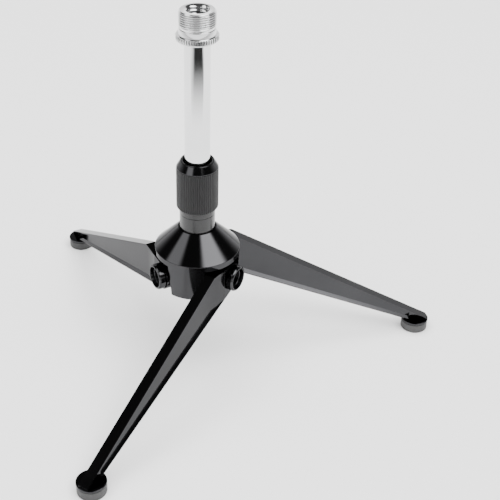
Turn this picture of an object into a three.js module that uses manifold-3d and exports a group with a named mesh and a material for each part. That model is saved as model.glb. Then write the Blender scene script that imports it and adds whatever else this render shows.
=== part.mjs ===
// Folding desktop microphone stand: a chrome tube in a twist clutch, on a hub with three folding legs.
// Units are millimetres, +Z is up, and the origin is on the hub's axis at table level.

import * as THREE from 'three';
import { mergeVertices } from 'three/addons/utils/BufferGeometryUtils.js';
import { ConvexGeometry } from 'three/addons/geometries/ConvexGeometry.js';
import Module from 'manifold-3d';

const wasm = await Module();
wasm.setup();

const GAP = 0.3; // clearance between neighbouring pieces
const ROUND = 40; // sides of a visible round piece
const HUB_ROUND = 60; // sides of the hub
const SMALL_ROUND = 24; // sides of a hidden or small round piece

// Screw top: 5/8"-27 outside, 3/8"-16 inside.
const ADAPTER_TOP = 169.6;
const THREAD_RADIUS = 15.875 / 2;
const THREAD_PITCH = 25.4 / 27;
const THREAD_DEPTH = 0.52;
const THREAD_TURNS = 6;
const THREAD_START = 162.9; // foot of the lowest ridge
const THREAD_RELIEF_RADIUS = 7.3;
const SHOULDER_TOP = 162.0;
const FLANGE_TOP = 159.3;
const FLANGE_BOTTOM = 156.6;
const FLANGE_RADIUS = 9.2;
const FLANGE_CHAMFER = 0.6;
const FLANGE_TEETH = 48;
const FLANGE_TOOTH_DEPTH = 0.45;
const BORE_RADIUS = 4.55;
const BORE_MOUTH_RADIUS = 5.0;
const STUD_RADIUS = 4.2;
const STUD_TOP = 166.4;
const STUD_BOTTOM = 140;
const WASHER_THICKNESS = 0.5;

// Telescoping tube and the guide plug in its lower end.
const TUBE_RADIUS = 5.63;
const TUBE_BORE_RADIUS = 4.6;
const TUBE_TOP = FLANGE_BOTTOM - WASHER_THICKNESS - 2 * GAP;
const TUBE_BOTTOM = 64.3;
const GUIDE_RADIUS = 6.6;
const GUIDE_TOP = 64;
const GUIDE_BOTTOM = 60;
const GUIDE_SPIGOT_RADIUS = TUBE_BORE_RADIUS - GAP;
const GUIDE_SPIGOT_TOP = 73;

// Twist clutch.
const COLLAR_RADIUS = 9.5;
const COLLAR_TOP = 97.3;
const COLLAR_BOTTOM = 77.4;
const COLLAR_RIBS = 60;
const COLLAR_RIB_DEPTH = 0.3;
const COLLAR_BORE_RADIUS = 7.7;
const CAP_TOP = 100.8;
const CAP_TOP_RADIUS = 7.5;
const CAP_MOUTH_RADIUS = 6.5;
const COLLET_TOP = 97.0;
const COLLET_BOTTOM = 76;
const COLLET_BORE_RADIUS = TUBE_RADIUS + GAP;
const COLLET_RADIUS = 6.6;
const COLLET_SLIT = 1.2;
const COLLET_SLIT_BOTTOM = 82;
const NECK_RADIUS = 8.1;
const NECK_SHOULDER = 74.1; // above this the neck is the clutch's screw
const NECK_SCREW_RADIUS = 7.3;
const NECK_SCREW_TOP = 94;
const NECK_BOTTOM = 58;
const GUIDE_BORE_RADIUS = GUIDE_RADIUS + GAP;

// Hub: one casting, a cone over a skirt that is notched for the eyes of the legs.
const CONE_TOP = 67;
const CONE_TOP_RADIUS = 8.8;
const RIM_RADIUS = 19.7;
const RIM_TOP = 56.4;
const RIM_BOTTOM = 53.7; // underside of the rim over each notch
const RIM_EDGE = 0.4;
const SKIRT_BOTTOM = 37.9;
const SKIRT_BOTTOM_RADIUS = 18.85;
const SKIRT_EDGE = 0.5;
const NOTCH_WALL = 13.0; // flat that each leg's washer sits on
const NOTCH_SIDE = -7.0; // end wall of the notch, at the pivot's height
const NOTCH_DRAFT = 0.07; // how far the end wall leans for each millimetre of height
const PLUG_TOP = 41;

// Legs. Each is drawn in its own frame: X runs out along the leg and Y runs out along its pivot.
const LEG_COUNT = 3;
const PIVOT_HEIGHT = 45;
const LEG_INNER = 14.1;
const LEG_THICKNESS = 4.9;
const LEG_OUTER = LEG_INNER + LEG_THICKNESS;
const EYE_RADIUS = 6.5;
const STOP_X = 15.6; // corner that meets the hub's rim when the leg is open
const STOP_HEIGHT = 53.35;
const TOP_SLOPE = 0.4806;
const BOTTOM_SLOPE = 0.3144;
const BOTTOM_HEIGHT = 36.65; // height of the lower edge at EDGE_START
const EDGE_START = 5.2;
const WEB_INSET = 0.6; // how far each face is sunk between the top flange and the lower rib
const WEB_START = 12;
const WEB_END = 100;
const FLANGE_HEIGHT = 0.9;
const RIB_HEIGHT_HUB = 4.3;
const RIB_HEIGHT_FOOT = 1.7;
const RIB_LAND = 0.9; // upright part of the rib, below its slope

// Feet.
const FOOT_X = 107.8;
const FOOT_Y = LEG_INNER + LEG_THICKNESS / 2;
const FOOT_RADIUS = 6.55;
const DISC_TOP = 5.7;
const DISC_BOTTOM = 4.6;
const PAD_TOP = DISC_BOTTOM - GAP;
const PAD_RADIUS = 6.4;
const PEG_RADIUS = 1.6;
const PEG_TOP = 6.2;
const LEG_TIP_X = FOOT_X + FOOT_RADIUS - 0.9;

// Pivot hardware, measured along the pivot's axis from the hub's axis.
const BOLT_SHANK_RADIUS = 2.4;
const BOLT_HOLE_RADIUS = BOLT_SHANK_RADIUS + GAP;
const BOLT_SHANK_START = 8.4;
const BOLT_HEAD_START = LEG_OUTER + GAP;
const BOLT_HEAD_END = 22.3;
const BOLT_HEAD_RADIUS = 6.0;
const BOLT_FACE_RADIUS = 5.45;
const BOLT_RECESS_RADIUS = 4.7;
const BOLT_RECESS_FLOOR = 20.7;
const WASHER_RADIUS = 5.6;
const WASHER_START = NOTCH_WALL + GAP;
const WASHER_END = LEG_INNER - GAP;

// Drops normals, joins shared corners and turns the faces outwards.
function weld(geometry) {
  const bare = geometry.clone();
  bare.deleteAttribute('normal');
  bare.deleteAttribute('uv');
  const welded = mergeVertices(bare, 1e-4);
  const kept = [];
  const index = welded.index.array;
  for (let i = 0; i < index.length; i += 3) {
    const [a, b, c] = [index[i], index[i + 1], index[i + 2]];
    if (a !== b && b !== c && c !== a) kept.push(a, b, c);
  }
  if (signedVolume(welded.attributes.position, kept) < 0) kept.reverse();
  welded.setIndex(kept);
  return welded;
}

function signedVolume(position, triangles) {
  const corner = [new THREE.Vector3(), new THREE.Vector3(), new THREE.Vector3()];
  let sum = 0;
  for (let i = 0; i < triangles.length; i += 3) {
    corner.forEach((v, k) => v.fromBufferAttribute(position, triangles[i + k]));
    sum += corner[0].dot(corner[1].cross(corner[2]));
  }
  return sum / 6;
}

function toManifold(geometry) {
  const welded = weld(geometry);
  return new wasm.Manifold(new wasm.Mesh({
    numProp: 3,
    vertProperties: new Float32Array(welded.attributes.position.array),
    triVerts: new Uint32Array(welded.index.array),
  }));
}

function fromManifold(solid) {
  const mesh = solid.getMesh();
  const geometry = new THREE.BufferGeometry();
  geometry.setAttribute('position', new THREE.BufferAttribute(mesh.vertProperties, 3));
  geometry.setIndex(new THREE.BufferAttribute(mesh.triVerts, 1));
  return geometry;
}

function join(...geometries) {
  const solids = geometries.map(toManifold);
  return fromManifold(solids.reduce((whole, next) => whole.add(next)));
}

function cut(geometry, ...tools) {
  const solids = tools.map(toManifold);
  return fromManifold(solids.reduce((whole, next) => whole.subtract(next), toManifold(geometry)));
}

// What two geometries have in common.
function overlap(first, second) {
  return fromManifold(toManifold(first).intersect(toManifold(second)));
}

// Turns a profile of [radius, height] pairs about Z.
function revolve(profile, sides = ROUND) {
  const points = profile.map(([radius, height]) => new THREE.Vector2(radius, height));
  const geometry = new THREE.LatheGeometry(points, sides);
  geometry.rotateX(Math.PI / 2);
  return weld(geometry);
}

function rod(radius, bottom, top, sides = ROUND) {
  return revolve([[0, bottom], [radius, bottom], [radius, top], [0, top]], sides);
}

function ring(inner, outer, bottom, top, sides = ROUND) {
  return revolve([[inner, bottom], [outer, bottom], [outer, top], [inner, top], [inner, bottom]], sides);
}

// Raises an outline of [x, y] pairs from one height to another.
function raise(outline, bottom, top) {
  const shape = new THREE.Shape(outline.map(([x, y]) => new THREE.Vector2(x, y)));
  const geometry = new THREE.ExtrudeGeometry(shape, { depth: top - bottom, bevelEnabled: false });
  geometry.translate(0, 0, bottom);
  return weld(geometry);
}

// Closed outline of straight teeth round a circle, three corners to each tooth.
function toothedOutline(radius, depth, count) {
  const outline = [];
  for (let i = 0; i < count; i += 1) {
    for (const [share, inset] of [[0, depth], [0.3, 0], [0.7, 0]]) {
      const angle = (2 * Math.PI * (i + share)) / count;
      outline.push([(radius - inset) * Math.cos(angle), (radius - inset) * Math.sin(angle)]);
    }
  }
  return outline;
}

// Turns a piece made about Z so that it lies along the pivot's axis, +Y.
function alongPivot(geometry) {
  geometry.rotateX(-Math.PI / 2);
  geometry.translate(0, 0, PIVOT_HEIGHT);
  return geometry;
}

const chrome = { color: 0xd8dade, roughness: 0.12, metalness: 1 };
const glossBlack = { color: 0x0b0b0c, roughness: 0.18, metalness: 0 };
const satinBlack = { color: 0x18181a, roughness: 0.42, metalness: 0 };
const nylon = { color: 0xcfcbc0, roughness: 0.55, metalness: 0 };
const rubber = { color: 0x1b1b1b, roughness: 0.85, metalness: 0 };
const steel = { color: 0x9a9da1, roughness: 0.35, metalness: 1 };

function piece(name, geometry, look) {
  const mesh = new THREE.Mesh(geometry, new THREE.MeshStandardMaterial(look));
  mesh.name = name;
  return mesh;
}

function threadAdapter() {
  const rootRadius = THREAD_RADIUS - THREAD_DEPTH;
  const profile = [[BORE_RADIUS, FLANGE_TOP - 0.2], [THREAD_RADIUS - 0.1, FLANGE_TOP - 0.2]];
  profile.push([THREAD_RADIUS - 0.1, SHOULDER_TOP], [THREAD_RELIEF_RADIUS, SHOULDER_TOP + 0.3]);
  profile.push([THREAD_RELIEF_RADIUS, THREAD_START]);
  for (let turn = 0; turn < THREAD_TURNS; turn += 1) {
    const foot = THREAD_START + turn * THREAD_PITCH;
    profile.push([THREAD_RADIUS, foot + 0.4 * THREAD_PITCH], [THREAD_RADIUS, foot + 0.6 * THREAD_PITCH]);
    profile.push([rootRadius, foot + THREAD_PITCH]);
  }
  profile.push([rootRadius, ADAPTER_TOP - 0.3], [rootRadius - 0.3, ADAPTER_TOP]);
  profile.push([BORE_MOUTH_RADIUS, ADAPTER_TOP], [BORE_RADIUS, ADAPTER_TOP - 0.5]);
  profile.push(profile[0]);
  const teeth = raise(toothedOutline(FLANGE_RADIUS, FLANGE_TOOTH_DEPTH, FLANGE_TEETH), FLANGE_BOTTOM, FLANGE_TOP);
  const chamfers = revolve([
    [0, FLANGE_BOTTOM], [FLANGE_RADIUS - FLANGE_CHAMFER, FLANGE_BOTTOM],
    [FLANGE_RADIUS + 0.2, FLANGE_BOTTOM + FLANGE_CHAMFER + 0.2],
    [FLANGE_RADIUS + 0.2, FLANGE_TOP - 0.2], [FLANGE_RADIUS - 0.2, FLANGE_TOP], [0, FLANGE_TOP],
  ], 48);
  const bore = rod(BORE_RADIUS, FLANGE_BOTTOM - 1, FLANGE_TOP + 1);
  return join(cut(overlap(teeth, chamfers), bore), revolve(profile));
}

function adapterStud() {
  return revolve([
    [0, STUD_BOTTOM], [STUD_RADIUS, STUD_BOTTOM], [STUD_RADIUS, STUD_TOP - 0.6],
    [STUD_RADIUS - 0.6, STUD_TOP], [0, STUD_TOP],
  ], SMALL_ROUND);
}

function tubeGuide() {
  return revolve([
    [0, GUIDE_BOTTOM], [GUIDE_RADIUS, GUIDE_BOTTOM], [GUIDE_RADIUS, GUIDE_TOP],
    [GUIDE_SPIGOT_RADIUS, GUIDE_TOP], [GUIDE_SPIGOT_RADIUS, GUIDE_SPIGOT_TOP], [0, GUIDE_SPIGOT_TOP],
  ], SMALL_ROUND);
}

function collarCap() {
  const bottom = COLLAR_TOP + GAP;
  return revolve([
    [CAP_MOUTH_RADIUS, bottom], [COLLAR_RADIUS - 0.1, bottom], [COLLAR_RADIUS - 0.1, bottom + 0.3],
    [CAP_TOP_RADIUS + 0.3, CAP_TOP - 0.2], [CAP_TOP_RADIUS, CAP_TOP],
    [CAP_MOUTH_RADIUS, CAP_TOP], [CAP_MOUTH_RADIUS, bottom],
  ]);
}

function clutchCollar() {
  return cut(
    raise(toothedOutline(COLLAR_RADIUS, COLLAR_RIB_DEPTH, COLLAR_RIBS), COLLAR_BOTTOM, COLLAR_TOP),
    rod(COLLAR_BORE_RADIUS, COLLAR_BOTTOM - 1, COLLAR_TOP + 1),
  );
}

function clutchCollet() {
  const slit = new THREE.BoxGeometry(3 * COLLET_RADIUS, COLLET_SLIT, COLLET_TOP);
  slit.translate(0, 0, COLLET_SLIT_BOTTOM + COLLET_TOP / 2);
  const crossSlit = slit.clone().rotateZ(Math.PI / 2);
  return cut(ring(COLLET_BORE_RADIUS, COLLET_RADIUS, COLLET_BOTTOM, COLLET_TOP), slit, crossSlit);
}

function neckSleeve() {
  return revolve([
    [GUIDE_BORE_RADIUS, NECK_BOTTOM], [NECK_RADIUS, NECK_BOTTOM], [NECK_RADIUS, NECK_SHOULDER],
    [NECK_SCREW_RADIUS, NECK_SHOULDER], [NECK_SCREW_RADIUS, NECK_SCREW_TOP],
    [GUIDE_BORE_RADIUS, NECK_SCREW_TOP], [GUIDE_BORE_RADIUS, NECK_BOTTOM],
  ]);
}

// Cutter for one notch, in the frame of the leg that it holds.
function notch() {
  const reach = 2 * RIM_RADIUS;
  const low = SKIRT_BOTTOM - 1;
  const side = (height) => NOTCH_SIDE + NOTCH_DRAFT * (height - PIVOT_HEIGHT);
  const outline = [[side(low), low], [reach, low], [reach, RIM_BOTTOM], [side(RIM_BOTTOM), RIM_BOTTOM]];
  return upright(outline, NOTCH_WALL, reach);
}

function hubCasting() {
  const bore = NECK_RADIUS + GAP;
  const blank = revolve([
    [GUIDE_BORE_RADIUS, SKIRT_BOTTOM], [SKIRT_BOTTOM_RADIUS - SKIRT_EDGE, SKIRT_BOTTOM],
    [SKIRT_BOTTOM_RADIUS, SKIRT_BOTTOM + SKIRT_EDGE], [RIM_RADIUS, RIM_TOP - RIM_EDGE],
    [RIM_RADIUS - RIM_EDGE, RIM_TOP], [CONE_TOP_RADIUS + 0.6, CONE_TOP - 0.9], [CONE_TOP_RADIUS, CONE_TOP],
    [bore, CONE_TOP], [bore, NECK_BOTTOM - GAP], [GUIDE_BORE_RADIUS, NECK_BOTTOM - GAP],
    [GUIDE_BORE_RADIUS, SKIRT_BOTTOM],
  ], HUB_ROUND);
  const tools = [];
  for (let i = 0; i < LEG_COUNT; i += 1) {
    const turn = (2 * Math.PI * i) / LEG_COUNT;
    const hole = alongPivot(rod(BOLT_HOLE_RADIUS, BOLT_SHANK_START - GAP, LEG_OUTER, SMALL_ROUND));
    tools.push(notch().rotateZ(turn), hole.rotateZ(turn));
  }
  return cut(blank, ...tools);
}

function topEdge(x) {
  return STOP_HEIGHT - TOP_SLOPE * (x - STOP_X);
}

function bottomEdge(x) {
  return BOTTOM_HEIGHT - BOTTOM_SLOPE * (x - EDGE_START);
}

// Side view of the leg: the stop corner, the sloping top, the tip over the foot, then round the eye.
function legOutline() {
  const outline = [[STOP_X, STOP_HEIGHT], [LEG_TIP_X, topEdge(LEG_TIP_X)]];
  const floor = (DISC_TOP + DISC_BOTTOM) / 2;
  const floorStart = EDGE_START + (BOTTOM_HEIGHT - floor) / BOTTOM_SLOPE;
  outline.push([LEG_TIP_X, floor], [floorStart, floor]);
  const start = -Math.PI / 2 - Math.atan(BOTTOM_SLOPE);
  const sweep = 0.84 * Math.PI;
  const steps = 14;
  for (let i = 0; i <= steps; i += 1) {
    const angle = start - (i / steps) * sweep;
    outline.push([EYE_RADIUS * Math.cos(angle), PIVOT_HEIGHT + EYE_RADIUS * Math.sin(angle)]);
  }
  return outline;
}

// Lays an outline of [x, height] pairs upright, from one distance along the pivot to another.
function upright(outline, inner, outer) {
  const geometry = raise(outline, -outer, -inner);
  return geometry.rotateX(Math.PI / 2);
}

// Cutter that sinks one face of the leg: flat under the top flange, sloping out at the lower rib.
function webPocket(face, side) {
  const points = [];
  const ends = [[WEB_START, RIB_HEIGHT_HUB], [WEB_END, RIB_HEIGHT_FOOT]];
  for (const [x, rib] of ends) {
    const top = topEdge(Math.max(x, STOP_X)) - FLANGE_HEIGHT;
    const foot = bottomEdge(x);
    points.push(new THREE.Vector3(x, face - side * WEB_INSET, top));
    points.push(new THREE.Vector3(x, face - side * WEB_INSET, foot + rib));
    points.push(new THREE.Vector3(x, face, foot + RIB_LAND));
    points.push(new THREE.Vector3(x, face + side, top));
    points.push(new THREE.Vector3(x, face + side, foot + RIB_LAND));
  }
  return new ConvexGeometry(points);
}

function leg() {
  const disc = rod(FOOT_RADIUS, DISC_BOTTOM, DISC_TOP).translate(FOOT_X, FOOT_Y, 0);
  const pegHole = rod(PEG_RADIUS + GAP, 0, PEG_TOP + GAP, SMALL_ROUND).translate(FOOT_X, FOOT_Y, 0);
  const eye = alongPivot(rod(BOLT_HOLE_RADIUS, LEG_INNER - 1, LEG_OUTER + 1, SMALL_ROUND));
  const blank = join(upright(legOutline(), LEG_INNER, LEG_OUTER), disc);
  return cut(blank, webPocket(LEG_OUTER, 1), webPocket(LEG_INNER, -1), pegHole, eye);
}

function pivotBolt() {
  return alongPivot(revolve([
    [0, BOLT_SHANK_START], [BOLT_SHANK_RADIUS, BOLT_SHANK_START], [BOLT_SHANK_RADIUS, BOLT_HEAD_START],
    [BOLT_HEAD_RADIUS, BOLT_HEAD_START], [BOLT_HEAD_RADIUS, BOLT_HEAD_END - 0.7],
    [BOLT_FACE_RADIUS, BOLT_HEAD_END], [BOLT_RECESS_RADIUS, BOLT_HEAD_END],
    [BOLT_RECESS_RADIUS, BOLT_RECESS_FLOOR], [0, BOLT_RECESS_FLOOR],
  ], 32));
}

function pivotWasher() {
  return alongPivot(ring(BOLT_HOLE_RADIUS, WASHER_RADIUS, WASHER_START, WASHER_END, SMALL_ROUND));
}

function footPad() {
  const pad = revolve([
    [0, 0], [PAD_RADIUS - 0.4, 0], [PAD_RADIUS, 0.4], [PAD_RADIUS, PAD_TOP - 0.2],
    [PAD_RADIUS - 0.2, PAD_TOP], [PEG_RADIUS, PAD_TOP], [PEG_RADIUS, PEG_TOP], [0, PEG_TOP],
  ]);
  return pad.translate(FOOT_X, FOOT_Y, 0);
}

function legAssembly(number) {
  const group = new THREE.Group();
  group.add(piece(`leg_${number}`, leg(), glossBlack));
  group.add(piece(`pivot_bolt_${number}`, pivotBolt(), glossBlack));
  group.add(piece(`pivot_washer_${number}`, pivotWasher(), nylon));
  group.add(piece(`foot_pad_${number}`, footPad(), rubber));
  return group;
}

function screwTop() {
  const group = new THREE.Group();
  const washerTop = FLANGE_BOTTOM - GAP;
  const washer = ring(BORE_RADIUS, TUBE_RADIUS + 0.3, washerTop - WASHER_THICKNESS, washerTop);
  group.add(piece('thread_adapter', threadAdapter(), chrome));
  group.add(piece('adapter_washer', washer, steel));
  group.add(piece('adapter_stud', adapterStud(), steel));
  return group;
}

function clutch() {
  const group = new THREE.Group();
  const lockRing = ring(NECK_SCREW_RADIUS + GAP, NECK_RADIUS + 0.05, NECK_SHOULDER + 0.5, COLLAR_BOTTOM - GAP);
  group.add(piece('collar_cap', collarCap(), glossBlack));
  group.add(piece('clutch_collar', clutchCollar(), satinBlack));
  group.add(piece('clutch_collet', clutchCollet(), nylon));
  group.add(piece('lock_ring', lockRing, satinBlack));
  group.add(piece('neck_sleeve', neckSleeve(), satinBlack));
  return group;
}

function hub() {
  const group = new THREE.Group();
  const plug = rod(GUIDE_BORE_RADIUS - GAP, SKIRT_BOTTOM + 0.2, PLUG_TOP, SMALL_ROUND);
  group.add(piece('hub_casting', hubCasting(), glossBlack));
  group.add(piece('hub_plug', plug, satinBlack));
  return group;
}

const stand = new THREE.Group();
stand.add(screwTop());
stand.add(piece('upper_tube', ring(TUBE_BORE_RADIUS, TUBE_RADIUS, TUBE_BOTTOM, TUBE_TOP), chrome));
stand.add(piece('tube_guide', tubeGuide(), nylon));
stand.add(clutch());
stand.add(hub());
for (let i = 0; i < LEG_COUNT; i += 1) {
  const assembly = legAssembly(i + 1);
  assembly.rotation.z = (2 * Math.PI * i) / LEG_COUNT;
  stand.add(assembly);
}

export default stand;
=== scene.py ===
"""Looks of a folding desktop microphone stand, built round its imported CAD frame.

The stand's lengths are in millimetres, in the frame of the CAD model, and become metres when a mesh is
made. The studio's are in metres, except for the camera's place.
"""

import math

import bmesh
import bpy
from mathutils import Matrix, Vector

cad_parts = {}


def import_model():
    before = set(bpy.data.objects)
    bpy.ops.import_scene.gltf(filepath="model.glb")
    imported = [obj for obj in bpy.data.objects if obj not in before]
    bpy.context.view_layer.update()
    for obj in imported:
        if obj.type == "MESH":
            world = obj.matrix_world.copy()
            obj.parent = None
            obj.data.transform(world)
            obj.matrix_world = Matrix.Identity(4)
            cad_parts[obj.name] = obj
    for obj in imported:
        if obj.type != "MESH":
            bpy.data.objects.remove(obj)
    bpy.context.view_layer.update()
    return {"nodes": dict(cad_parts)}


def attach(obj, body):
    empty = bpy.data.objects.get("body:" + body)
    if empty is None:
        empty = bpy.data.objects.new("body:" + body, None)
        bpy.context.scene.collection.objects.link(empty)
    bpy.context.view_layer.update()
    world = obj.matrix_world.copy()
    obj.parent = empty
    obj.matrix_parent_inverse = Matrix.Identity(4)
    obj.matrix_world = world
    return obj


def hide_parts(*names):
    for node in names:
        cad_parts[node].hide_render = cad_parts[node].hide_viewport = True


MM = 0.001
SIDES = 144
FINE_SIDES = 288
LEG_COUNT = 3
PIVOT_HEIGHT = 45.0

# Screw top.
ADAPTER_TOP = 169.6
FLANGE_BOTTOM = 156.6
FLANGE_TOP = 159.3
FLANGE_RADIUS = 9.2
FLANGE_TEETH = 48
FLANGE_TOOTH_DEPTH = 0.6
FLANGE_TOOTH_SHARPNESS = 1.6
FLANGE_BOTTOM_EDGE = 0.55
FLANGE_TOP_EDGE = 0.28
OUTER_THREAD_RADIUS = 7.9375
OUTER_THREAD_PITCH = 25.4 / 27
OUTER_THREAD_DEPTH = 0.42
OUTER_THREAD_BOTTOM = 162.6
OUTER_THREAD_TOP = 169.2
OUTER_THREAD_ROWS = 98
SHOULDER_TOP = 162.0
BORE_RADIUS = 4.55
INNER_THREAD_PITCH = 25.4 / 16
INNER_THREAD_DEPTH = 0.5
INNER_THREAD_ROWS = 64
STUD_RADIUS = 4.2
STUD_TOP = 166.4
STUD_BOTTOM = 140.0
STUD_THREAD_DEPTH = 0.6
STUD_THREAD_ROWS = 200
STUD_SHELL_BORE = 0.6
STUD_CORE_RADIUS = 1.2
SLOT_WIDTH = 1.3
SLOT_DEPTH = 1.2
SLOT_REACH = 8
WASHER_BORE = 4.6
WASHER_RADIUS = 5.93
WASHER_BOTTOM = 155.8
WASHER_TOP = 156.3

# Tube and clutch.
TUBE_RADIUS = 5.63
TUBE_BORE = 4.6
TUBE_TOP = 155.5
TUBE_BOTTOM = 64.3
CAP_TOP = 100.8
CAP_BOTTOM = 97.34
CAP_RADIUS = 9.4
CAP_TOP_RADIUS = 7.5
CAP_MOUTH = 6.5
COLLAR_TOP = 97.3
COLLAR_BOTTOM = 77.4
COLLAR_RADIUS = 9.5
COLLAR_BORE = 7.7
COLLAR_RIBS = 60
COLLAR_RIB_DEPTH = 0.26
COLLAR_RIB_SHARPNESS = 2.0
RING_BORE = 7.6
RING_RADIUS = 8.15
RING_BOTTOM = 74.4
RING_TOP = 77.1
NECK_RADIUS = 8.1
NECK_BOTTOM = 58.0
NECK_SHOULDER = 74.3
NECK_SCREW = 7.3
NECK_SCREW_TOP = 94.0
NECK_BORE = 6.9

# Hub.
CONE_TOP = 67.0
CONE_TOP_RADIUS = 8.8
RIM_RADIUS = 19.7
RIM_TOP = 56.4
RIM_BOTTOM = 53.7
SKIRT_BOTTOM = 37.9
SKIRT_BOTTOM_RADIUS = 18.85
NECK_SEAT = 57.7
NECK_GAP = 0.03
PLUG_RADIUS = 6.6
PLUG_BOTTOM = 38.1
PLUG_TOP = 41.0
NOTCH_WALL = 13.0
NOTCH_SIDE = -7.0
NOTCH_DRAFT = 0.07

# Legs, in a frame with X out along the leg and Y out along its pivot.
LEG_INNER = 14.1
LEG_OUTER = 19.0
EYE_RADIUS = 6.5
EYE_WRAP = 0.84  # of half a turn
STOP_X = 15.6
STOP_HEIGHT = 53.35
TOP_SLOPE = 0.4806
BOTTOM_SLOPE = 0.3144
BOTTOM_START = 5.2
BOTTOM_HEIGHT = 36.65
# Each station of the sunk web is its place along the leg, the lower rib's height and the inset.
WEB_STATIONS = ((6.8, 1.95, 0.04), (17.0, 1.95, 1.35), (104.5, 1.6, 1.0))
WEB_TOP = STOP_HEIGHT - 0.5
FLANGE_HEIGHT = 0.9
RIB_LAND = 0.35
WEB_OVERCUT = 0.03
FOOT_X = 107.8
FOOT_Y = 16.55
FOOT_RADIUS = 6.55
LEG_TIP_X = FOOT_X + FOOT_RADIUS - 0.9
DISC_TOP = 5.7
DISC_BOTTOM = 4.6
PAD_RADIUS = 6.4
PAD_TOP = 4.3
PEG_RADIUS = 1.6
PEG_TOP = 6.2
PEG_HOLE = 1.9
PEG_HOLE_TOP = 6.5

# Pivots, by radius and by distance from the hub's axis.
BOLT_HOLE = 2.7
HUB_HOLE_START = 8.1
LEG_HOLE_START = 10
HOLE_END = 25
SHANK_RADIUS = 2.4
SHANK_END = 8.4
HEAD_RADIUS = 6.0
HEAD_SEAT = 19.3
HEAD_CHAMFER_START = 21.6
HEAD_FACE = 22.3
HEAD_FACE_RADIUS = 5.45
RECESS_RADIUS = 4.85
RECESS_FLOOR_RADIUS = 4.5
RECESS_FLOOR = 20.2
DIMPLE_RADIUS = 2.2
SHIM_RADIUS = 5.6
SHIM_START = 13.3
SHIM_END = 13.8

# Camera, at the viewing angle of the picture that the stand is matched to.
CAMERA_PLACE = (16.04, -410.96, 321.56)
CAMERA_PITCH = 33.124
CAMERA_HEADING = 2.235
CAMERA_LENS = 76.09
CAMERA_SHIFT = 0.1053

# Studio. Each soft box is azimuth, elevation, half width and half height in degrees, and radiance.
SOFT_BOXES = (
    (57, 50, 22, 12, 7.4),
    (-78, 44, 13, 12, 2.8),
    (-45, 31, 15, 7, 2.8),
    (180, 17, 40, 13, 1.5),
)
SOFT_BOX_EDGE = 0.33  # share of the half size over which it fades
HORIZON_BRIGHT_BELOW = -2
HORIZON_DARK_ABOVE = 22
HORIZON_RADIANCE = 2.2
ROOM_RADIANCE = 0.09
FLOOR_SIZE = 12
FLOOR_WHITES = ((0.88, 0.88, 0.88), (0.9, 0.9, 0.9))
# The dark card lies in front of the stand. It fades in from nothing between each pair of distances.
CARD_WIDTH = 0.9
CARD_DEPTH = 0.5
CARD_PLACE = (0.02, -0.42, 0.0005)
CARD_NEAR = (0.235, 0.355)
CARD_LEFT = (-0.37, -0.1)
CARD_RIGHT = (0.345, 0.25)
CEILING_SIZE = 2.4
CEILING_HEIGHT = 1.6
CEILING_RADIANCE = 5.2


# ---- Shapes ----


def unit(vector):
    length = math.hypot(*vector)
    return [v / length for v in vector]


def corner_arc(before, corner, after, steps):
    """Points of the arc that rounds a corner (radius, height, fillet) between its two neighbours."""
    x, z, fillet = corner
    back = unit((before[0] - x, before[1] - z))
    ahead = unit((after[0] - x, after[1] - z))
    half = math.acos(max(-1.0, min(1.0, back[0] * ahead[0] + back[1] * ahead[1]))) / 2
    reach = fillet / math.tan(half)
    middle = unit((back[0] + ahead[0], back[1] + ahead[1]))
    centre = [c + m * fillet / math.sin(half) for c, m in zip((x, z), middle)]
    start = (x + back[0] * reach - centre[0], z + back[1] * reach - centre[1])
    end = (x + ahead[0] * reach - centre[0], z + ahead[1] * reach - centre[1])
    first = math.atan2(start[1], start[0])
    turn = (math.atan2(end[1], end[0]) - first + math.pi) % (2 * math.pi) - math.pi
    arc = []
    for k in range(steps + 1):
        angle = first + turn * k / steps
        arc.append((centre[0] + fillet * math.cos(angle), centre[1] + fillet * math.sin(angle)))
    return arc


def filleted(corners, steps=4):
    """Rounds each corner (radius, height, fillet) of a closed profile and returns (radius, height) pairs."""
    points = []
    for i, corner in enumerate(corners):
        if corner[2]:
            points += corner_arc(corners[i - 1], corner, corners[(i + 1) % len(corners)], steps)
        else:
            points.append(corner[:2])
    return points


def spun(profile, sides=SIDES):
    """A bmesh of a closed profile turned about Z. Points on the axis become a single vertex."""
    made = bmesh.new()
    rings = []
    for radius, height in profile:
        if radius < 1e-6:
            rings.append([made.verts.new((0, 0, height))])
            continue
        angles = [2 * math.pi * k / sides for k in range(sides)]
        rings.append([made.verts.new((radius * math.cos(a), radius * math.sin(a), height)) for a in angles])
    for lower, upper in zip(rings, rings[1:] + rings[:1]):
        bridge(made, lower, upper)
    return made


def bridge(made, lower, upper):
    """Fills between two neighbouring rings, either of which may be a single vertex."""
    sides = max(len(lower), len(upper))
    if sides == 1:
        return
    for k in range(sides):
        following = (k + 1) % sides
        corners = [lower[k % len(lower)], lower[following % len(lower)]]
        corners += [upper[following % len(upper)], upper[k % len(upper)]]
        made.faces.new(list(dict.fromkeys(corners)))


def wrapped(rows, sides):
    """A bmesh closed round a loop of rows. Each row is a function from angle to (radius, height)."""
    made = bmesh.new()
    rings = []
    for row in rows:
        ring = []
        for k in range(sides):
            angle = 2 * math.pi * k / sides
            radius, height = row(angle)
            ring.append(made.verts.new((radius * math.cos(angle), radius * math.sin(angle), height)))
        rings.append(ring)
    for lower, upper in zip(rings, rings[1:] + rings[:1]):
        bridge(made, lower, upper)
    return made


def prism(outline, low, high):
    """A bmesh of an outline of (x, z) pairs, standing upright from y = low to y = high."""
    made = bmesh.new()
    near = [made.verts.new((x, low, z)) for x, z in outline]
    far = [made.verts.new((x, high, z)) for x, z in outline]
    made.faces.new(near)
    made.faces.new(far[::-1])
    for k in range(len(outline)):
        following = (k + 1) % len(outline)
        made.faces.new((near[following], near[k], far[k], far[following]))
    return made


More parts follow.
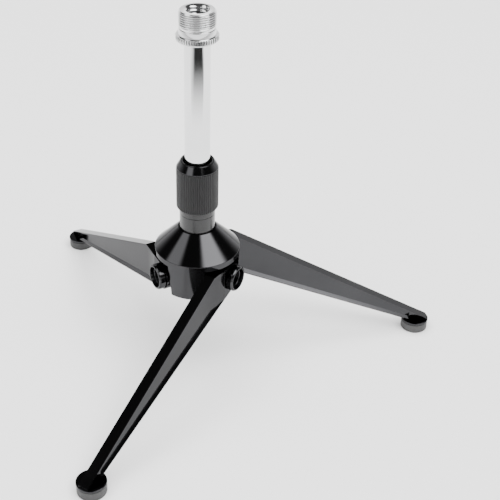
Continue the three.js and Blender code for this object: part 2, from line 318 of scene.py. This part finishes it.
def hull(points):
    """A bmesh of the convex hull of some points."""
    made = bmesh.new()
    for point in points:
        made.verts.new(point)
    bmesh.ops.convex_hull(made, input=made.verts[:])
    return made


def solid(name, made, turn=0.0):
    """Links a bmesh as an object, turned about Z by an angle."""
    bmesh.ops.recalc_face_normals(made, faces=made.faces[:])
    mesh = bpy.data.meshes.new(name)
    made.to_mesh(mesh)
    made.free()
    mesh.transform(Matrix.Rotation(turn, 4, "Z") @ Matrix.Diagonal((MM, MM, MM, 1)))
    thing = bpy.data.objects.new(name, mesh)
    bpy.context.scene.collection.objects.link(thing)
    return thing


def settle(thing):
    """Applies the modifiers of an object to its mesh."""
    depsgraph = bpy.context.evaluated_depsgraph_get()
    settled = bpy.data.meshes.new_from_object(thing.evaluated_get(depsgraph))
    thing.modifiers.clear()
    thing.data = settled


def combine(thing, others, operation):
    """Cuts others from an object, or joins them to it, and removes them."""
    for other in others:
        step = thing.modifiers.new("combine", "BOOLEAN")
        step.operation = operation
        step.solver = "EXACT"
        step.object = other
    settle(thing)
    for other in others:
        bpy.data.objects.remove(other)
    return thing


def bevel(thing, width, angle, steps=3):
    """Rounds the edges of an object that are sharper than an angle."""
    step = thing.modifiers.new("edges", "BEVEL")
    step.width = width * MM
    step.segments = steps
    step.limit_method = "ANGLE"
    step.angle_limit = math.radians(angle)
    step.use_clamp_overlap = True
    settle(thing)


def smooth(thing, angle):
    """Shades an object smooth up to an angle, and keeps its flat faces flat beside their fillets."""
    for polygon in thing.data.polygons:
        polygon.use_smooth = True
    thing.data.set_sharp_from_angle(angle=math.radians(angle))
    step = thing.modifiers.new("flat_faces", "WEIGHTED_NORMAL")
    step.weight = 100
    step.keep_sharp = True


def along_pivot(thing, number):
    """Turns a piece made about Z to lie along the pivot of a leg."""
    lay = Matrix.Translation((0, 0, PIVOT_HEIGHT * MM)) @ Matrix.Rotation(-math.pi / 2, 4, "X")
    thing.data.transform(Matrix.Rotation(leg_turn(number), 4, "Z") @ lay)
    return thing


def leg_turn(number):
    return 2 * math.pi * (number - 1) / LEG_COUNT


# ---- Materials ----


class Paint:
    """A material with its shader and the few node steps that every finish here shares."""

    def __init__(self, name, **inputs):
        self.material = bpy.data.materials.new(name)
        self.material.use_nodes = True
        self.nodes = self.material.node_tree.nodes
        self.links = self.material.node_tree.links
        self.shader = self.nodes["Principled BSDF"]
        self.place = self.nodes.new("ShaderNodeTexCoord").outputs["Object"]
        self.relief = None
        for label, value in inputs.items():
            self.shader.inputs[label.replace("_", " ")].default_value = value

    def noise(self, scale, detail=2.0, stretch=(1, 1, 1)):
        """Noise with so many cells to the metre, stretched along the axes."""
        mapping = self.nodes.new("ShaderNodeMapping")
        mapping.inputs["Scale"].default_value = stretch
        self.links.new(self.place, mapping.inputs["Vector"])
        texture = self.nodes.new("ShaderNodeTexNoise")
        texture.inputs["Scale"].default_value = scale
        texture.inputs["Detail"].default_value = detail
        self.links.new(mapping.outputs["Vector"], texture.inputs["Vector"])
        return texture.outputs["Fac"]

    def spread(self, source, low, high):
        """Stretches a noise, which mostly lies between 0.3 and 0.7, over the range from low to high."""
        step = self.nodes.new("ShaderNodeMapRange")
        step.inputs["From Min"].default_value = 0.3
        step.inputs["From Max"].default_value = 0.7
        step.inputs["To Min"].default_value = low
        step.inputs["To Max"].default_value = high
        self.links.new(source, step.inputs["Value"])
        return step.outputs["Result"]

    def roughness(self, source, low, high):
        self.links.new(self.spread(source, low, high), self.shader.inputs["Roughness"])

    def shade(self, source, first, second):
        """Lets the colour waver between two shades."""
        step = self.nodes.new("ShaderNodeMix")
        step.data_type = "RGBA"
        step.inputs["A"].default_value = (*first, 1)
        step.inputs["B"].default_value = (*second, 1)
        self.links.new(self.spread(source, 0, 1), step.inputs["Factor"])
        self.links.new(step.outputs["Result"], self.shader.inputs["Base Color"])

    def paint_groove_shade(self, reach):
        """Paints shade into the colour of grooves that are so many millimetres wide, darker where nearby
        geometry hides the light.
        """
        colour = self.shader.inputs["Base Color"].links[0].from_socket
        groove = self.nodes.new("ShaderNodeAmbientOcclusion")
        groove.samples = 8
        groove.only_local = True
        groove.inputs["Distance"].default_value = reach * MM
        self.links.new(colour, groove.inputs["Color"])
        self.links.new(groove.outputs["Color"], self.shader.inputs["Base Color"])

    def bump(self, source, depth, strength):
        """Adds relief of so many millimetres on top of whatever relief is there already."""
        step = self.nodes.new("ShaderNodeBump")
        step.inputs["Distance"].default_value = depth * MM
        step.inputs["Strength"].default_value = strength
        self.links.new(source, step.inputs["Height"])
        if self.relief:
            self.links.new(self.relief, step.inputs["Normal"])
        self.relief = step.outputs["Normal"]
        self.links.new(self.relief, self.shader.inputs["Normal"])
        return self


def chrome_plate():
    paint = Paint("chrome", Metallic=1.0)
    cloud = paint.noise(60, detail=4)
    scratch = paint.noise(900, detail=3, stretch=(1, 1, 0.06))
    paint.shade(cloud, (0.74, 0.745, 0.75), (0.80, 0.802, 0.806))
    # Painted shade in the thread roots, the knurl gaps and the corners between steps.
    paint.paint_groove_shade(0.7)
    paint.roughness(cloud, 0.04, 0.10)
    return paint.bump(scratch, depth=0.0006, strength=0.5).material


def gloss_black(name):
    """Mirror-bright black paint, held back where the light grazes it."""
    paint = Paint(name, Metallic=1.0, Specular_Tint=(0.65, 0.65, 0.65, 1))
    cloud = paint.noise(45, detail=5)
    peel = paint.noise(420)
    speck = paint.noise(2600)
    paint.shade(cloud, (0.042, 0.042, 0.044), (0.048, 0.048, 0.05))
    paint.roughness(cloud, 0.07, 0.15)
    paint.bump(peel, depth=0.004, strength=0.35)
    return paint.bump(speck, depth=0.001, strength=0.25).material


def satin_black(name, roughness, index):
    paint = Paint(name, IOR=index)
    grain = paint.noise(2400, detail=4)
    cloud = paint.noise(70, detail=4)
    paint.shade(cloud, (0.004, 0.004, 0.0045), (0.007, 0.007, 0.0075))
    paint.roughness(cloud, roughness - 0.05, roughness + 0.06)
    return paint.bump(grain, depth=0.006, strength=0.4).material


def moulded_nylon():
    paint = Paint("nylon", IOR=1.5)
    grain = paint.noise(1500, detail=5)
    paint.shade(paint.noise(90, detail=3), (0.018, 0.018, 0.019), (0.03, 0.03, 0.031))
    paint.roughness(grain, 0.42, 0.6)
    return paint.bump(grain, depth=0.012, strength=0.5).material


def pad_rubber():
    paint = Paint("rubber", IOR=1.5)
    grain = paint.noise(1800, detail=5)
    paint.shade(paint.noise(120, detail=4), (0.03, 0.03, 0.031), (0.05, 0.05, 0.05))
    paint.roughness(grain, 0.5, 0.72)
    return paint.bump(grain, depth=0.02, strength=0.6).material


def turned_steel():
    paint = Paint("steel", Metallic=1.0)
    lathe_marks = paint.noise(700, detail=4, stretch=(0.2, 0.2, 3))
    paint.shade(lathe_marks, (0.52, 0.53, 0.55), (0.66, 0.66, 0.67))
    paint.roughness(lathe_marks, 0.22, 0.38)
    return paint.bump(lathe_marks, depth=0.004, strength=0.4).material


# ---- Pieces ----


def finish_piece(thing, body, nodes, material, angle=32):
    """Gives a piece its material and its moving body, and hides the CAD nodes that it stands for."""
    smooth(thing, angle)
    thing.data.materials.clear()
    thing.data.materials.append(material)
    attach(thing, body)
    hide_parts(*nodes)


def thread_wave(share):
    """Height of a thread's rounded ridge, 0 in the root and 1 on the crest, at a share of one pitch."""
    return 0.5 - 0.5 * math.cos(2 * math.pi * share)


def threaded_row(height, crest, depth, pitch, bottom, top):
    """One row of a helical thread that runs out smoothly at both ends."""
    end = min(1.0, max(0.0, (height - bottom) / pitch), max(0.0, (top - height) / pitch))

    def row(angle):
        share = height / pitch - angle / (2 * math.pi)
        return crest - depth * (1 - thread_wave(share) * end), height

    return row


def plain_row(radius, height):
    return lambda angle: (radius, height)


def toothed_row(radius, depth, height, teeth, sharpness):
    """A row with rounded teeth. The gaps between them are narrower the sharper they are."""

    def row(angle):
        wave = 0.5 + 0.5 * math.cos(teeth * angle)
        return radius - depth * (1 - wave) ** sharpness, height

    return row


def steps_between(low, high, count):
    """Evenly spaced values from low to high, both included."""
    return [low + (high - low) * k / count for k in range(count + 1)]


def knurled_row(radius, height, share):
    """A row of the flange with its teeth at a share of their full depth."""
    return toothed_row(radius, FLANGE_TOOTH_DEPTH * share, height, FLANGE_TEETH, FLANGE_TOOTH_SHARPNESS)


def flange_rows():
    """Rows up the outside of the adapter's flange, whose teeth run out at both edges."""
    edge = FLANGE_BOTTOM_EDGE
    rows = [plain_row(FLANGE_RADIUS - edge - 0.12, FLANGE_BOTTOM)]
    rows.append(plain_row(FLANGE_RADIUS - edge, FLANGE_BOTTOM + 0.04))
    for share in (0.35, 0.7, 0.95, 1.0):
        rows.append(knurled_row(FLANGE_RADIUS - edge * (1 - share), FLANGE_BOTTOM + edge * share, share))
    edge = FLANGE_TOP_EDGE
    for share in (1.0, 0.9, 0.6, 0.25):
        rows.append(knurled_row(FLANGE_RADIUS - edge * (1 - share), FLANGE_TOP - edge * share, share))
    rows.append(plain_row(FLANGE_RADIUS - 0.34, FLANGE_TOP - 0.02))
    rows.append(plain_row(FLANGE_RADIUS - 0.5, FLANGE_TOP))
    return rows


def shoulder_rows():
    """Rows up the plain shoulder between the adapter's flange and its thread."""
    radius = OUTER_THREAD_RADIUS - 0.1
    return [
        plain_row(radius + 0.2, FLANGE_TOP),
        plain_row(radius + 0.05, FLANGE_TOP + 0.06),
        plain_row(radius, FLANGE_TOP + 0.2),
        plain_row(radius, SHOULDER_TOP - 0.25),
        plain_row(radius - 0.08, SHOULDER_TOP - 0.08),
        plain_row(radius - 0.3, SHOULDER_TOP + 0.05),
    ]


def outer_thread_rows():
    """Rows up the adapter's outer thread, from the relief groove to the top edge."""
    root = OUTER_THREAD_RADIUS - OUTER_THREAD_DEPTH
    limits = (OUTER_THREAD_BOTTOM, OUTER_THREAD_TOP + 0.5)
    thread = (OUTER_THREAD_RADIUS, OUTER_THREAD_DEPTH, OUTER_THREAD_PITCH)
    rows = [plain_row(root, SHOULDER_TOP + 0.25)]
    for height in steps_between(OUTER_THREAD_BOTTOM, OUTER_THREAD_TOP, OUTER_THREAD_ROWS):
        rows.append(threaded_row(height, *thread, *limits))
    rows.append(plain_row(root - 0.1, ADAPTER_TOP - 0.15))
    rows.append(plain_row(root - 0.25, ADAPTER_TOP))
    return rows


def inner_thread_rows():
    """Rows down the adapter's threaded bore, which runs out past both ends."""
    crest = BORE_RADIUS + INNER_THREAD_DEPTH
    limits = (FLANGE_BOTTOM, ADAPTER_TOP + 1.0)
    rows = [plain_row(BORE_RADIUS + 0.75, ADAPTER_TOP), plain_row(BORE_RADIUS + 0.6, ADAPTER_TOP - 0.08)]
    for height in steps_between(ADAPTER_TOP - 0.6, FLANGE_BOTTOM + 0.5, INNER_THREAD_ROWS):
        rows.append(threaded_row(height, crest, INNER_THREAD_DEPTH, INNER_THREAD_PITCH, *limits))
    return rows


def adapter_rows():
    """Rows of the threaded adapter, up its outside and down its bore."""
    rows = [plain_row(BORE_RADIUS + 0.4, FLANGE_BOTTOM)]
    return rows + flange_rows() + shoulder_rows() + outer_thread_rows() + inner_thread_rows()


def stud_rows():
    """Rows of the stud's threaded shell, up its outside. A plain core fills it."""
    limits = (STUD_BOTTOM, STUD_TOP + 0.2)
    rows = [plain_row(STUD_SHELL_BORE, STUD_BOTTOM), plain_row(STUD_RADIUS - 0.6, STUD_BOTTOM)]
    for height in steps_between(STUD_BOTTOM + 0.5, STUD_TOP - 0.55, STUD_THREAD_ROWS):
        rows.append(threaded_row(height, STUD_RADIUS, STUD_THREAD_DEPTH, INNER_THREAD_PITCH, *limits))
    rows += [plain_row(STUD_RADIUS - 0.7, STUD_TOP - 0.12), plain_row(STUD_RADIUS - 1.0, STUD_TOP)]
    rows.append(plain_row(STUD_SHELL_BORE, STUD_TOP))
    return rows


def stud_core():
    low = STUD_BOTTOM + 0.2
    high = STUD_TOP - 0.001
    profile = [(0, low), (STUD_CORE_RADIUS, low), (STUD_CORE_RADIUS, high), (0, high)]
    return solid("stud_core", spun(profile, 48))


def slot_cutter():
    """Cuts a screwdriver slot right across the top of the stud."""
    low = STUD_TOP - SLOT_DEPTH
    high = STUD_TOP + 1
    outline = [(-SLOT_REACH, low), (SLOT_REACH, low), (SLOT_REACH, high), (-SLOT_REACH, high)]
    return solid("slot_cutter", prism(outline, -SLOT_WIDTH / 2, SLOT_WIDTH / 2))


def make_screw_top(looks):
    adapter = solid("adapter_screw", wrapped(adapter_rows(), FINE_SIDES))
    finish_piece(adapter, "adapter", ["thread_adapter"], looks["chrome"], angle=40)

    stud = solid("screw_stud", wrapped(stud_rows(), 96))
    combine(stud, [stud_core()], "UNION")
    combine(stud, [slot_cutter()], "DIFFERENCE")
    finish_piece(stud, "tube", ["adapter_stud"], looks["steel"], angle=40)

    washer_profile = [
        (WASHER_BORE, WASHER_BOTTOM, 0.08), (WASHER_RADIUS, WASHER_BOTTOM, 0.12),
        (WASHER_RADIUS, WASHER_TOP, 0.12), (WASHER_BORE, WASHER_TOP, 0.08),
    ]
    washer = solid("screw_washer", spun(filleted(washer_profile)))
    finish_piece(washer, "washer", ["adapter_washer"], looks["steel"])


def make_tube(looks):
    profile = [
        (TUBE_BORE, TUBE_BOTTOM, 0.2), (TUBE_RADIUS, TUBE_BOTTOM, 0.3),
        (TUBE_RADIUS, TUBE_TOP, 0.3), (TUBE_BORE, TUBE_TOP, 0.2),
    ]
    tube = solid("chrome_tube", spun(filleted(profile), FINE_SIDES))
    finish_piece(tube, "tube", ["upper_tube"], looks["chrome"])


def make_clutch(looks):
    cap_profile = [
        (CAP_MOUTH, CAP_BOTTOM, 0.1), (CAP_RADIUS, CAP_BOTTOM, 0.06), (CAP_RADIUS, CAP_BOTTOM + 0.3, 0.2),
        (CAP_TOP_RADIUS, CAP_TOP, 0.35), (CAP_MOUTH, CAP_TOP, 0.3),
    ]
    cap = solid("clutch_cap", spun(filleted(cap_profile, 5)))
    finish_piece(cap, "collar", ["collar_cap"], looks["gloss"])

    collar = solid("clutch_sleeve", wrapped(collar_rows(), COLLAR_RIBS * 10))
    finish_piece(collar, "collar", ["clutch_collar"], looks["collar"], angle=50)

    ring_profile = [
        (RING_BORE, RING_BOTTOM, 0.1), (RING_RADIUS, RING_BOTTOM, 0.12),
        (RING_RADIUS, RING_TOP, 0.16), (RING_BORE, RING_TOP, 0.1),
    ]
    ring = solid("clutch_ring", spun(filleted(ring_profile)))
    finish_piece(ring, "hub", ["lock_ring"], looks["neck"])

    neck_profile = [
        (NECK_BORE, NECK_BOTTOM, 0), (NECK_RADIUS, NECK_BOTTOM, 0), (NECK_RADIUS, NECK_SHOULDER, 0.12),
        (NECK_SCREW, NECK_SHOULDER, 0), (NECK_SCREW, NECK_SCREW_TOP, 0.2), (NECK_BORE, NECK_SCREW_TOP, 0.1),
    ]
    neck = solid("hub_neck", spun(filleted(neck_profile)))
    finish_piece(neck, "hub", ["neck_sleeve"], looks["neck"])


def ribbed_row(inset, height, share=1.0):
    """A row of the clutch's sleeve with its ribs at a share of their full depth."""
    radius = COLLAR_RADIUS - inset
    return toothed_row(radius, COLLAR_RIB_DEPTH * share, height, COLLAR_RIBS, COLLAR_RIB_SHARPNESS)


def collar_rows():
    """Rows of the ribbed sleeve, up its outside and down its bore."""
    rows = [plain_row(COLLAR_BORE, COLLAR_BOTTOM), plain_row(COLLAR_RADIUS - 0.75, COLLAR_BOTTOM)]
    for share in (0.2, 0.5, 0.8, 1.0):
        rows.append(ribbed_row(0.6 * (1 - share) ** 2, COLLAR_BOTTOM + 0.7 * share, share))
    for height in steps_between(COLLAR_BOTTOM + 2, COLLAR_TOP - 1.5, 6):
        rows.append(ribbed_row(0, height))
    for share in (1.0, 0.7, 0.3):
        rows.append(ribbed_row(0.25 * (1 - share) ** 2, COLLAR_TOP - 0.45 * share, share))
    rows += [plain_row(COLLAR_RADIUS - 0.3, COLLAR_TOP), plain_row(COLLAR_BORE, COLLAR_TOP)]
    return rows


def notch_cutter(number):
    """Cuts the room for one leg out of the hub's skirt, under the rim."""
    low = SKIRT_BOTTOM - 2
    reach = 30

    def side(height):
        return NOTCH_SIDE + NOTCH_DRAFT * (height - PIVOT_HEIGHT)

    outline = [(side(low), low), (reach, low), (reach, RIM_BOTTOM), (side(RIM_BOTTOM), RIM_BOTTOM)]
    return solid("notch", prism(outline, NOTCH_WALL, reach), leg_turn(number))


def bolt_hole(number, start):
    """Cuts the hole for one leg's pivot bolt, outwards from a distance from the hub's axis."""
    profile = [(0, start), (BOLT_HOLE, start), (BOLT_HOLE, HOLE_END), (0, HOLE_END)]
    return along_pivot(solid("hole", spun(profile, 64)), number)


def make_hub(looks):
    bore = NECK_RADIUS + NECK_GAP
    profile = [
        (NECK_BORE, SKIRT_BOTTOM, 0.2), (SKIRT_BOTTOM_RADIUS, SKIRT_BOTTOM, 0.5), (RIM_RADIUS, RIM_TOP, 0.45),
        (CONE_TOP_RADIUS, CONE_TOP, 0.35), (bore, CONE_TOP, 0.05), (bore, NECK_SEAT, 0),
        (NECK_BORE, NECK_SEAT, 0),
    ]
    casting = solid("hub_shell", spun(filleted(profile, 5), 216))
    cutters = [notch_cutter(number) for number in range(1, LEG_COUNT + 1)]
    cutters += [bolt_hole(number, HUB_HOLE_START) for number in range(1, LEG_COUNT + 1)]
    combine(casting, cutters, "DIFFERENCE")
    bevel(casting, 0.18, angle=38, steps=2)
    finish_piece(casting, "hub", ["hub_casting"], looks["gloss"], angle=30)

    plug_profile = [
        (0, PLUG_BOTTOM, 0), (PLUG_RADIUS, PLUG_BOTTOM, 0.4), (PLUG_RADIUS, PLUG_TOP, 0.1), (0, PLUG_TOP, 0),
    ]
    plug = solid("hub_base_plug", spun(filleted(plug_profile)))
    finish_piece(plug, "hub", ["hub_plug"], looks["neck"])


def top_edge(x):
    return STOP_HEIGHT - TOP_SLOPE * (x - STOP_X)


def bottom_edge(x):
    return BOTTOM_HEIGHT - BOTTOM_SLOPE * (x - BOTTOM_START)


def leg_outline():
    """Side view of the leg, from the stop corner down to the foot and round the eye."""
    floor = (DISC_TOP + DISC_BOTTOM) / 2
    outline = [(STOP_X, STOP_HEIGHT), (LEG_TIP_X, top_edge(LEG_TIP_X)), (LEG_TIP_X, floor)]
    outline.append((BOTTOM_START + (BOTTOM_HEIGHT - floor) / BOTTOM_SLOPE, floor))
    start = -math.pi / 2 - math.atan(BOTTOM_SLOPE)
    steps = 40
    for k in range(steps + 1):
        angle = start - EYE_WRAP * math.pi * k / steps
        outline.append((EYE_RADIUS * math.cos(angle), PIVOT_HEIGHT + EYE_RADIUS * math.sin(angle)))
    return outline


def web_cutter(face, side):
    """Sinks one face of a leg: flat under the top edge, sloping out again at the lower rib."""
    points = []
    for x, rib, inset in WEB_STATIONS:
        top = min(top_edge(x), WEB_TOP) - FLANGE_HEIGHT
        foot = bottom_edge(x)
        points.append((x, face - side * inset, top))
        points.append((x, face - side * inset, foot + rib))
        points.append((x, face + side * WEB_OVERCUT, foot + RIB_LAND))
        points.append((x, face + side, top))
        points.append((x, face + side, foot + RIB_LAND))
    return solid("web", hull(points))


def at_foot(profile):
    """A turned piece that stands under the end of the leg."""
    made = spun(profile)
    bmesh.ops.translate(made, verts=made.verts[:], vec=(FOOT_X, FOOT_Y, 0))
    return made


def leg_blank():
    """One finished leg, pointing along X."""
    blank = solid("leg_blank", prism(leg_outline(), LEG_INNER, LEG_OUTER))
    combine(blank, [web_cutter(LEG_OUTER, 1), web_cutter(LEG_INNER, -1)], "DIFFERENCE")
    bevel(blank, 0.35, angle=12)
    disc_profile = [
        (0, DISC_BOTTOM, 0), (FOOT_RADIUS, DISC_BOTTOM, 0.15), (FOOT_RADIUS, DISC_TOP, 0.4), (0, DISC_TOP, 0),
    ]
    combine(blank, [solid("disc", at_foot(filleted(disc_profile, 5)))], "UNION")
    peg_profile = [(0, 0), (PEG_HOLE, 0), (PEG_HOLE, PEG_HOLE_TOP), (0, PEG_HOLE_TOP)]
    holes = [bolt_hole(1, LEG_HOLE_START), solid("peg_hole", at_foot(peg_profile))]
    return combine(blank, holes, "DIFFERENCE")


def make_leg(number, blank, looks):
    turn = Matrix.Rotation(leg_turn(number), 4, "Z")
    leg = bpy.data.objects.new(f"leg_arm_{number}", blank.data.copy())
    bpy.context.scene.collection.objects.link(leg)
    leg.data.transform(turn)
    finish_piece(leg, f"leg_{number}", [f"leg_{number}"], looks["gloss"], angle=30)

    pad_profile = [
        (0, 0, 0), (PAD_RADIUS, 0, 0.45), (PAD_RADIUS, PAD_TOP, 0.2), (PEG_RADIUS, PAD_TOP, 0),
        (PEG_RADIUS, PEG_TOP, 0.2), (0, PEG_TOP, 0),
    ]
    pad = solid(f"foot_rubber_{number}", at_foot(filleted(pad_profile)), leg_turn(number))
    finish_piece(pad, f"leg_{number}", [f"foot_pad_{number}"], looks["rubber"])


def make_pivot(number, looks):
    profile = [
        (0, SHANK_END, 0), (SHANK_RADIUS, SHANK_END, 0.3), (SHANK_RADIUS, HEAD_SEAT, 0),
        (HEAD_RADIUS, HEAD_SEAT, 0.15), (HEAD_RADIUS, HEAD_CHAMFER_START, 0.3),
        (HEAD_FACE_RADIUS, HEAD_FACE, 0.2), (RECESS_RADIUS, HEAD_FACE, 0.2),
        (RECESS_FLOOR_RADIUS, RECESS_FLOOR, 0.4), (DIMPLE_RADIUS, RECESS_FLOOR - 0.3, 0.8),
        (0, RECESS_FLOOR - 0.4, 0),
    ]
    bolt = along_pivot(solid(f"pivot_screw_{number}", spun(filleted(profile, 5))), number)
    finish_piece(bolt, "hub", [f"pivot_bolt_{number}"], looks["bolt"])

    washer_profile = [
        (BOLT_HOLE, SHIM_START, 0.08), (SHIM_RADIUS, SHIM_START, 0.12),
        (SHIM_RADIUS, SHIM_END, 0.12), (BOLT_HOLE, SHIM_END, 0.08),
    ]
    washer = along_pivot(solid(f"pivot_shim_{number}", spun(filleted(washer_profile))), number)
    finish_piece(washer, "hub", [f"pivot_washer_{number}"], looks["nylon"])


def dress_hidden_nodes(nodes, looks):
    """The two inner pieces keep their CAD shape, with softened edges and their own finish."""
    for name in ("tube_guide", "clutch_collet"):
        node = nodes[name]
        node.data.materials.clear()
        node.data.materials.append(looks["nylon"])
        edges = node.modifiers.new("edges", "BEVEL")
        edges.width = 0.1 * MM
        edges.limit_method = "ANGLE"


# ---- Studio ----


def make_camera():
    data = bpy.data.cameras.new("camera")
    data.lens = CAMERA_LENS
    data.sensor_width = 36
    data.shift_x = CAMERA_SHIFT
    data.clip_start = 0.01
    data.clip_end = 50
    camera = bpy.data.objects.new("camera", data)
    bpy.context.scene.collection.objects.link(camera)
    camera.location = Vector(CAMERA_PLACE) * MM
    camera.rotation_euler = (math.radians(90 - CAMERA_PITCH), 0, math.radians(CAMERA_HEADING))
    bpy.context.scene.camera = camera


def flat_panel(name, width, depth, place):
    mesh = bpy.data.meshes.new(name)
    x = width / 2
    y = depth / 2
    mesh.from_pydata([(-x, -y, 0), (x, -y, 0), (x, y, 0), (-x, y, 0)], [], [(0, 1, 2, 3)])
    panel = bpy.data.objects.new(name, mesh)
    panel.location = place
    bpy.context.scene.collection.objects.link(panel)
    return panel


def make_floor():
    floor = flat_panel("floor", FLOOR_SIZE, FLOOR_SIZE, (0, 0, 0))
    paint = Paint("floor_paper", Roughness=0.9)
    paint.shader.inputs["Specular IOR Level"].default_value = 0.1
    paint.shade(paint.noise(3, detail=3), *FLOOR_WHITES)
    paint.bump(paint.noise(800, detail=3), depth=0.02, strength=0.2)
    floor.data.materials.append(paint.material)


def facing(azimuth, elevation):
    """Direction from the stand. Azimuth 0 is the camera's side, turning towards +X."""
    turn = math.radians(azimuth - 90 + CAMERA_HEADING)
    rise = math.radians(elevation)
    return Vector((math.cos(turn) * math.cos(rise), math.sin(turn) * math.cos(rise), math.sin(rise)))


def make_fill():
    """A wide ceiling light for the floor and the matt pieces. The gloss doesn't mirror it."""
    data = bpy.data.lights.new("ceiling", "AREA")
    data.shape = "RECTANGLE"
    data.size = data.size_y = CEILING_SIZE
    data.energy = CEILING_RADIANCE * math.pi * CEILING_SIZE**2
    light = bpy.data.objects.new("ceiling", data)
    light.location = (0, 0, CEILING_HEIGHT)
    light.visible_glossy = False
    bpy.context.scene.collection.objects.link(light)


class Steps:
    """The node steps that the dark card and the room share."""

    def __init__(self, tree):
        self.nodes = tree.nodes
        self.links = tree.links

    def ramp(self, source, start, end, first=0.0, last=1.0):
        """Passes smoothly from the first value to the last while the source goes from start to end."""
        step = self.nodes.new("ShaderNodeMapRange")
        step.interpolation_type = "SMOOTHSTEP"
        step.inputs["From Min"].default_value = start
        step.inputs["From Max"].default_value = end
        step.inputs["To Min"].default_value = first
        step.inputs["To Max"].default_value = last
        self.links.new(source, step.inputs["Value"])
        return step.outputs["Result"]

    def math(self, operation, first, second):
        step = self.nodes.new("ShaderNodeMath")
        step.operation = operation
        for socket, value in zip(step.inputs, (first, second)):
            if isinstance(value, float):
                socket.default_value = value
            else:
                self.links.new(value, socket)
        return step.outputs["Value"]


class Card(Steps):
    """Shader of the dark card: dark paper that is clear where its cover is 0."""

    def __init__(self):
        self.material = bpy.data.materials.new("dark_card")
        self.material.use_nodes = True
        super().__init__(self.material.node_tree)
        self.nodes.clear()
        self.place = self.nodes.new("ShaderNodeNewGeometry").outputs["Position"]

    def distance(self):
        step = self.nodes.new("ShaderNodeVectorMath")
        step.operation = "LENGTH"
        self.links.new(self.place, step.inputs[0])
        return step.outputs["Value"]

    def sideways(self):
        step = self.nodes.new("ShaderNodeSeparateXYZ")
        self.links.new(self.place, step.inputs["Vector"])
        return step.outputs["X"]

    def cover_with(self, cover):
        dark = self.nodes.new("ShaderNodeBsdfDiffuse")
        dark.inputs["Color"].default_value = (0.012, 0.012, 0.012, 1)
        clear = self.nodes.new("ShaderNodeBsdfTransparent")
        mix = self.nodes.new("ShaderNodeMixShader")
        out = self.nodes.new("ShaderNodeOutputMaterial")
        self.links.new(cover, mix.inputs["Fac"])
        self.links.new(clear.outputs["BSDF"], mix.inputs[1])
        self.links.new(dark.outputs["BSDF"], mix.inputs[2])
        self.links.new(mix.outputs["Shader"], out.inputs["Surface"])


def make_card():
    """Makes the floor in front fall away into the dark, for mirrors only."""
    panel = flat_panel("dark_card", CARD_WIDTH, CARD_DEPTH, CARD_PLACE)
    panel.visible_camera = False
    panel.visible_diffuse = False
    panel.visible_shadow = False
    card = Card()
    cover = card.ramp(card.distance(), *CARD_NEAR)
    sideways = card.sideways()
    for limits in (CARD_LEFT, CARD_RIGHT):
        cover = card.math("MULTIPLY", cover, card.ramp(sideways, *limits))
    card.cover_with(cover)
    panel.data.materials.append(card.material)


class Room(Steps):
    """World shader: a dark room with a bright band round the horizon and soft boxes on the walls."""

    def __init__(self):
        world = bpy.data.worlds.new("studio")
        bpy.context.scene.world = world
        world.use_nodes = True
        super().__init__(world.node_tree)
        self.direction = self.nodes.new("ShaderNodeTexCoord").outputs["Generated"]
        self.total = None

    def along(self, vector):
        step = self.nodes.new("ShaderNodeVectorMath")
        step.operation = "DOT_PRODUCT"
        step.inputs[1].default_value = vector
        self.links.new(self.direction, step.inputs[0])
        return step.outputs["Value"]

    def add(self, source):
        self.total = source if self.total is None else self.math("ADD", self.total, source)

    def horizon(self):
        height = self.along((0, 0, 1))
        limits = [math.sin(math.radians(angle)) for angle in (HORIZON_BRIGHT_BELOW, HORIZON_DARK_ABOVE)]
        self.add(self.ramp(height, *limits, HORIZON_RADIANCE, ROOM_RADIANCE))

    def soft_box(self, azimuth, elevation, width, height, radiance):
        """A soft-edged rectangle of light. Width and height are half sizes in degrees."""
        aim = facing(azimuth, elevation)
        side = aim.cross(Vector((0, 0, 1))).normalized()
        glow = self.ramp(self.along(aim), 0.0, 0.01, 0.0, radiance)
        for axis, half in ((side, width), (side.cross(aim), height)):
            edge = math.sin(math.radians(half))
            offset = self.math("ABSOLUTE", self.along(axis), 0.0)
            limits = (edge * (1 - SOFT_BOX_EDGE), edge * (1 + SOFT_BOX_EDGE))
            falloff = self.ramp(offset, *limits, 1.0, 0.0)
            glow = self.math("MULTIPLY", glow, falloff)
        self.add(glow)

    def close(self):
        background = self.nodes["Background"]
        background.inputs["Color"].default_value = (1, 1, 1, 1)
        self.links.new(self.total, background.inputs["Strength"])


def make_room():
    room = Room()
    room.horizon()
    for box in SOFT_BOXES:
        room.soft_box(*box)
    room.close()


def make_studio():
    make_camera()
    make_floor()
    make_card()
    make_room()
    make_fill()


def main():
    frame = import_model()
    looks = {
        "chrome": chrome_plate(),
        "gloss": gloss_black("gloss_black"),
        "bolt": gloss_black("bolt_black"),
        "collar": satin_black("collar_black", roughness=0.36, index=1.37),
        "neck": satin_black("neck_black", roughness=0.2, index=1.5),
        "nylon": moulded_nylon(),
        "rubber": pad_rubber(),
        "steel": turned_steel(),
    }
    make_screw_top(looks)
    make_tube(looks)
    make_clutch(looks)
    make_hub(looks)
    blank = leg_blank()
    for number in range(1, LEG_COUNT + 1):
        make_leg(number, blank, looks)
        make_pivot(number, looks)
    bpy.data.objects.remove(blank)
    dress_hidden_nodes(frame["nodes"], looks)
    make_studio()


main()
